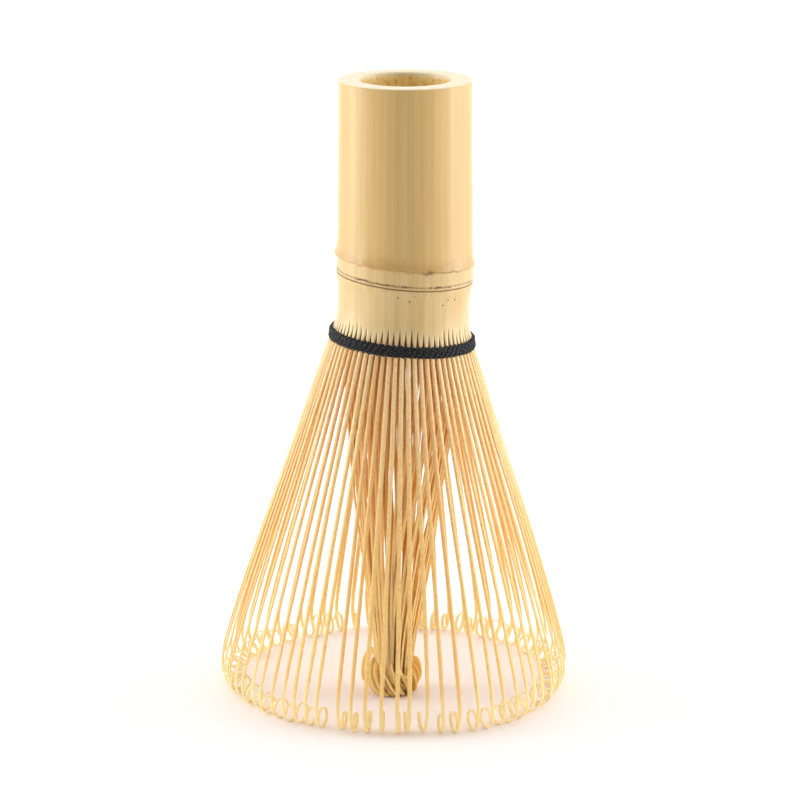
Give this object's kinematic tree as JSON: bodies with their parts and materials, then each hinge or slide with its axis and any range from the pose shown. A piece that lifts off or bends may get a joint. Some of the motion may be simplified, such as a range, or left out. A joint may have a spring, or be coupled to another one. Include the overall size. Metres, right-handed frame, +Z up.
{
  "type": "bamboo tea whisk",
  "caption": "Bamboo tea whisk: a hollow culm handle split below a black thread into a flared crown of curled outer tines round a closed inner bundle.",
  "frame": {"origin": "on the floor at the middle of the ring of curled tine tips", "axes": "+Z up the handle, which stands a little to +X of the crown; -Y is the front, towards which the inner tines' foot leans"},
  "size_m": [0.0646, 0.0646, 0.113],
  "materials": {
    "bamboo_culm": "satin natural skin, with a brown node scar",
    "bamboo_outer_tine": "shaved bamboo, cream to golden",
    "bamboo_inner_tine": "shaved bamboo, golden orange",
    "cotton_thread": "matt black twisted thread"
  },
  "bodies": {
    "culm": {"handle_culm": "bamboo_culm", "thread_row_1": "cotton_thread", "thread_row_2": "cotton_thread", "thread_row_3": "cotton_thread", "thread_inside_row": "cotton_thread"},
    "outer_tines_01": {"outer_tines_01": "bamboo_outer_tine"},
    "inner_tines_01": {"inner_tines_01": "bamboo_inner_tine"},
    "outer_tines_02": {"outer_tines_02": "bamboo_outer_tine"},
    "inner_tines_02": {"inner_tines_02": "bamboo_inner_tine"},
    "outer_tines_03": {"outer_tines_03": "bamboo_outer_tine"},
    "inner_tines_03": {"inner_tines_03": "bamboo_inner_tine"},
    "outer_tines_04": {"outer_tines_04": "bamboo_outer_tine"},
    "inner_tines_04": {"inner_tines_04": "bamboo_inner_tine"},
    "outer_tines_05": {"outer_tines_05": "bamboo_outer_tine"},
    "inner_tines_05": {"inner_tines_05": "bamboo_inner_tine"},
    "outer_tines_06": {"outer_tines_06": "bamboo_outer_tine"},
    "inner_tines_06": {"inner_tines_06": "bamboo_inner_tine"},
    "outer_tines_07": {"outer_tines_07": "bamboo_outer_tine"},
    "inner_tines_07": {"inner_tines_07": "bamboo_inner_tine"},
    "outer_tines_08": {"outer_tines_08": "bamboo_outer_tine"},
    "inner_tines_08": {"inner_tines_08": "bamboo_inner_tine"},
    "outer_tines_09": {"outer_tines_09": "bamboo_outer_tine"},
    "inner_tines_09": {"inner_tines_09": "bamboo_inner_tine"},
    "outer_tines_10": {"outer_tines_10": "bamboo_outer_tine"},
    "inner_tines_10": {"inner_tines_10": "bamboo_inner_tine"},
    "outer_tines_11": {"outer_tines_11": "bamboo_outer_tine"},
    "inner_tines_11": {"inner_tines_11": "bamboo_inner_tine"},
    "outer_tines_12": {"outer_tines_12": "bamboo_outer_tine"},
    "inner_tines_12": {"inner_tines_12": "bamboo_inner_tine"}
  },
  "joints": [
    {"name": "outer_flex_01", "type": "hinge", "parent": "culm", "child": "outer_tines_01", "pos_m": [0.01375, 0.0027, 0.06484], "axis": [0.2164, -0.9763, 0], "range_deg": [-3, 6], "stiffness_Nm_per_rad": 0.024},
    {"name": "outer_flex_02", "type": "hinge", "parent": "culm", "child": "outer_tines_02", "pos_m": [0.01076, 0.00844, 0.06504], "axis": [0.6756, -0.7373, 0], "range_deg": [-3, 6], "stiffness_Nm_per_rad": 0.024},
    {"name": "outer_flex_03", "type": "hinge", "parent": "culm", "child": "outer_tines_03", "pos_m": [0.00531, 0.01192, 0.06545], "axis": [0.9537, -0.3007, 0], "range_deg": [-3, 6], "stiffness_Nm_per_rad": 0.024},
    {"name": "outer_flex_04", "type": "hinge", "parent": "culm", "child": "outer_tines_04", "pos_m": [-0.00116, 0.0122, 0.06595], "axis": [0.9763, 0.2164, 0], "range_deg": [-3, 6], "stiffness_Nm_per_rad": 0.024},
    {"name": "outer_flex_05", "type": "hinge", "parent": "culm", "child": "outer_tines_05", "pos_m": [-0.0069, 0.00922, 0.06641], "axis": [0.7373, 0.6756, 0], "range_deg": [-3, 6], "stiffness_Nm_per_rad": 0.024},
    {"name": "outer_flex_06", "type": "hinge", "parent": "culm", "child": "outer_tines_06", "pos_m": [-0.01037, 0.00376, 0.06671], "axis": [0.3007, 0.9537, 0], "range_deg": [-3, 6], "stiffness_Nm_per_rad": 0.024},
    {"name": "outer_flex_07", "type": "hinge", "parent": "culm", "child": "outer_tines_07", "pos_m": [-0.01066, -0.0027, 0.06677], "axis": [-0.2164, 0.9763, 0], "range_deg": [-3, 6], "stiffness_Nm_per_rad": 0.024},
    {"name": "outer_flex_08", "type": "hinge", "parent": "culm", "child": "outer_tines_08", "pos_m": [-0.00767, -0.00844, 0.06656], "axis": [-0.6756, 0.7373, 0], "range_deg": [-3, 6], "stiffness_Nm_per_rad": 0.024},
    {"name": "outer_flex_09", "type": "hinge", "parent": "culm", "child": "outer_tines_09", "pos_m": [-0.00221, -0.01192, 0.06615], "axis": [-0.9537, 0.3007, 0], "range_deg": [-3, 6], "stiffness_Nm_per_rad": 0.024},
    {"name": "outer_flex_10", "type": "hinge", "parent": "culm", "child": "outer_tines_10", "pos_m": [0.00425, -0.0122, 0.06565], "axis": [-0.9763, -0.2164, 0], "range_deg": [-3, 6], "stiffness_Nm_per_rad": 0.024},
    {"name": "outer_flex_11", "type": "hinge", "parent": "culm", "child": "outer_tines_11", "pos_m": [0.00999, -0.00922, 0.06519], "axis": [-0.7373, -0.6756, 0], "range_deg": [-3, 6], "stiffness_Nm_per_rad": 0.024},
    {"name": "outer_flex_12", "type": "hinge", "parent": "culm", "child": "outer_tines_12", "pos_m": [0.01347, -0.00376, 0.06489], "axis": [-0.3007, -0.9537, 0], "range_deg": [-3, 6], "stiffness_Nm_per_rad": 0.024},
    {"name": "inner_flex_01", "type": "hinge", "parent": "culm", "child": "inner_tines_01", "pos_m": [0.01203, 0.00281, 0.06497], "axis": [0.2588, -0.9659, 0], "range_deg": [0, 5], "stiffness_Nm_per_rad": 0.012},
    {"name": "inner_flex_02", "type": "hinge", "parent": "culm", "child": "inner_tines_02", "pos_m": [0.00922, 0.00767, 0.06516], "axis": [0.7071, -0.7071, 0], "range_deg": [0, 5], "stiffness_Nm_per_rad": 0.012},
    {"name": "inner_flex_03", "type": "hinge", "parent": "culm", "child": "inner_tines_03", "pos_m": [0.00436, 0.01048, 0.06553], "axis": [0.9659, -0.2588, 0], "range_deg": [0, 5], "stiffness_Nm_per_rad": 0.012},
    {"name": "inner_flex_04", "type": "hinge", "parent": "culm", "child": "inner_tines_04", "pos_m": [-0.00126, 0.01048, 0.06597], "axis": [0.9659, 0.2588, 0], "range_deg": [0, 5], "stiffness_Nm_per_rad": 0.012},
    {"name": "inner_flex_05", "type": "hinge", "parent": "culm", "child": "inner_tines_05", "pos_m": [-0.00612, 0.00767, 0.06636], "axis": [0.7071, 0.7071, 0], "range_deg": [0, 5], "stiffness_Nm_per_rad": 0.012},
    {"name": "inner_flex_06", "type": "hinge", "parent": "culm", "child": "inner_tines_06", "pos_m": [-0.00893, 0.00281, 0.0666], "axis": [0.2588, 0.9659, 0], "range_deg": [0, 5], "stiffness_Nm_per_rad": 0.012},
    {"name": "inner_flex_07", "type": "hinge", "parent": "culm", "child": "inner_tines_07", "pos_m": [-0.00893, -0.00281, 0.06663], "axis": [-0.2588, 0.9659, 0], "range_deg": [0, 5], "stiffness_Nm_per_rad": 0.012},
    {"name": "inner_flex_08", "type": "hinge", "parent": "culm", "child": "inner_tines_08", "pos_m": [-0.00612, -0.00767, 0.06644], "axis": [-0.7071, 0.7071, 0], "range_deg": [0, 5], "stiffness_Nm_per_rad": 0.012},
    {"name": "inner_flex_09", "type": "hinge", "parent": "culm", "child": "inner_tines_09", "pos_m": [-0.00126, -0.01048, 0.06607], "axis": [-0.9659, 0.2588, 0], "range_deg": [0, 5], "stiffness_Nm_per_rad": 0.012},
    {"name": "inner_flex_10", "type": "hinge", "parent": "culm", "child": "inner_tines_10", "pos_m": [0.00436, -0.01048, 0.06563], "axis": [-0.9659, -0.2588, 0], "range_deg": [0, 5], "stiffness_Nm_per_rad": 0.012},
    {"name": "inner_flex_11", "type": "hinge", "parent": "culm", "child": "inner_tines_11", "pos_m": [0.00922, -0.00767, 0.06524], "axis": [-0.7071, -0.7071, 0], "range_deg": [0, 5], "stiffness_Nm_per_rad": 0.012},
    {"name": "inner_flex_12", "type": "hinge", "parent": "culm", "child": "inner_tines_12", "pos_m": [0.01203, -0.00281, 0.065], "axis": [-0.2588, -0.9659, 0], "range_deg": [0, 5], "stiffness_Nm_per_rad": 0.012}
  ]
}
